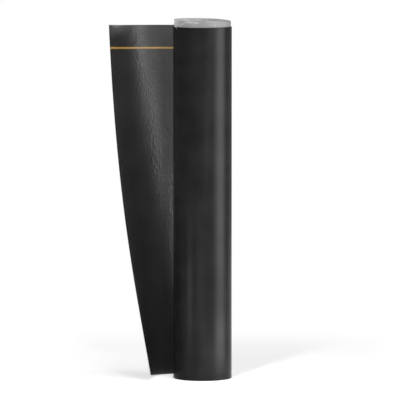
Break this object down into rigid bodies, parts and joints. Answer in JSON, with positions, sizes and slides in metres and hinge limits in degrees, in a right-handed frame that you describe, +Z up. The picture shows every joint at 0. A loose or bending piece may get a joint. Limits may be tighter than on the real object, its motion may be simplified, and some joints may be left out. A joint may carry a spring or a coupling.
{
  "type": "roll of roofing felt",
  "caption": "Upright roll of black roofing felt with an open bore, a loose tail of the sheet curling away behind it, and pale packing film gathered on the top end.",
  "frame": {"origin": "on the roll's axis, at the floor that it stands on", "axes": "+Z up along the roll's axis, +X to the right and +Y away from the front, so that the loose tail lies behind and to the left"},
  "size_m": [0.5234, 0.2952, 1.53],
  "materials": {
    "felt": "black felt with a fine embossed grain and a faint sheen, with a yellow-orange lap line on the inner face",
    "film": "pale grey crumpled packing film, slightly see-through"
  },
  "bodies": {
    "root": {"felt_roll": "felt", "packing_film": "film"}
  },
  "joints": []
}
